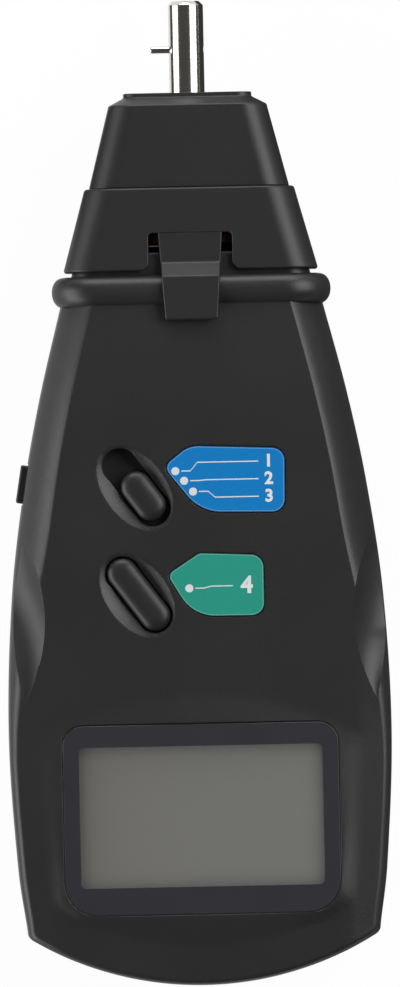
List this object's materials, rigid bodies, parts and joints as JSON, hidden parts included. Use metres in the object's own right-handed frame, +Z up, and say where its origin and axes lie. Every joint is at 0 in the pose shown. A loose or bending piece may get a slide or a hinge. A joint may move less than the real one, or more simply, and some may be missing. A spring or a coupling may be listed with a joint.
{
  "type": "laser tachometer",
  "caption": "Hand-held tachometer: tapered case with display, slide switch, keys and colour labels, and a clip-on adapter with a steel contact spindle and cross pin",
  "frame": {"origin": "middle of the footprint, on the surface that the back lies on", "axes": "+X across the case, keys at -X and labels at +X; +Y along the spindle, from the display end to its tip; +Z up, out of the display"},
  "size_m": [0.0766, 0.1967, 0.0299],
  "materials": {
    "black_plastic": "fine spark-eroded texture",
    "key_plastic": "fine satin",
    "window_plastic": "polished, printed behind",
    "display_glass": "satin polariser",
    "natural_plastic": "moulded, natural",
    "elastomer": "striped conductive rubber",
    "board": "solder mask",
    "component_black": "moulded epoxy",
    "steel": "zinc plated",
    "nickel": "bright nickel plate",
    "brass": "machined",
    "bronze": "sintered, oil filled",
    "glass": "polished",
    "cell_wrap": "shrunk sleeve",
    "blue_label": "printed film",
    "green_label": "printed film",
    "mark_silver": "retroreflective film",
    "red_lead": "insulated wire"
  },
  "bodies": {
    "case": {"front_housing": "black_plastic", "rear_housing": "black_plastic", "display_window": "window_plastic", "lcd_panel": "display_glass", "display_carrier": "natural_plastic", "elastomer_strip_lower": "elastomer", "elastomer_strip_upper": "elastomer", "circuit_board": "board", "controller_chip": "component_black", "capacitor_1": "component_black", "capacitor_2": "component_black", "mode_switch": "component_black", "memory_switch": "component_black", "measure_switch": "component_black", "optics_bracket": "component_black", "receiver": "component_black", "receiver_lead": "component_black", "crystal": "steel", "contact_plate_1": "steel", "contact_plate_2": "steel", "contact_plate_3": "steel", "contact_plate_4": "steel", "contact_plate_5": "steel", "contact_spring_1": "steel", "contact_spring_2": "steel", "contact_spring_3": "steel", "contact_spring_4": "steel", "housing_screw_1": "steel", "housing_screw_2": "steel", "housing_screw_3": "steel", "housing_screw_4": "steel", "board_screw_1": "steel", "board_screw_2": "steel", "board_screw_3": "steel", "laser_module": "brass", "receiver_lens": "glass", "nose_window": "glass", "battery_cell_1": "cell_wrap", "battery_cell_2": "cell_wrap", "battery_cell_3": "cell_wrap", "battery_cell_4": "cell_wrap", "mode_label": "blue_label", "memory_label": "green_label", "laser_lead": "red_lead"},
    "mode_slider": {"mode_slider": "key_plastic"},
    "memory_key": {"memory_key": "key_plastic"},
    "measure_key": {"measure_key": "key_plastic"},
    "battery_cover": {"battery_cover": "black_plastic"},
    "adapter": {"adapter_skirt": "black_plastic", "adapter_cap": "black_plastic", "front_bush": "bronze", "rear_bush": "bronze", "adapter_screw_1": "steel", "adapter_screw_2": "steel"},
    "spindle": {"spindle": "nickel", "drive_pin": "nickel", "reflector_disc": "brass", "reflective_mark": "mark_silver", "spindle_collar": "steel"}
  },
  "joints": [
    {"name": "mode_slide", "type": "slide", "parent": "case", "child": "mode_slider", "axis": [-0.597, 0.8022, 0], "range_m": [0, 0.005]},
    {"name": "memory_press", "type": "slide", "parent": "case", "child": "memory_key", "axis": [0, 0, -1], "range_m": [0, 0.0008], "stiffness_N_per_m": 1500, "springref_m": -0.0002},
    {"name": "measure_press", "type": "slide", "parent": "case", "child": "measure_key", "axis": [0.9869, -0.1613, 0], "range_m": [0, 0.0008], "stiffness_N_per_m": 1500, "springref_m": -0.0002},
    {"name": "cover_off", "type": "slide", "parent": "case", "child": "battery_cover", "axis": [0, -1, 0], "range_m": [0, 0.07]},
    {"name": "adapter_off", "type": "slide", "parent": "case", "child": "adapter", "axis": [0, 1, 0], "range_m": [0, 0.03]},
    {"name": "spindle_turn", "type": "hinge", "parent": "adapter", "child": "spindle", "pos_m": [0, 0, 0.015], "axis": [0, 1, 0], "continuous": true}
  ]
}
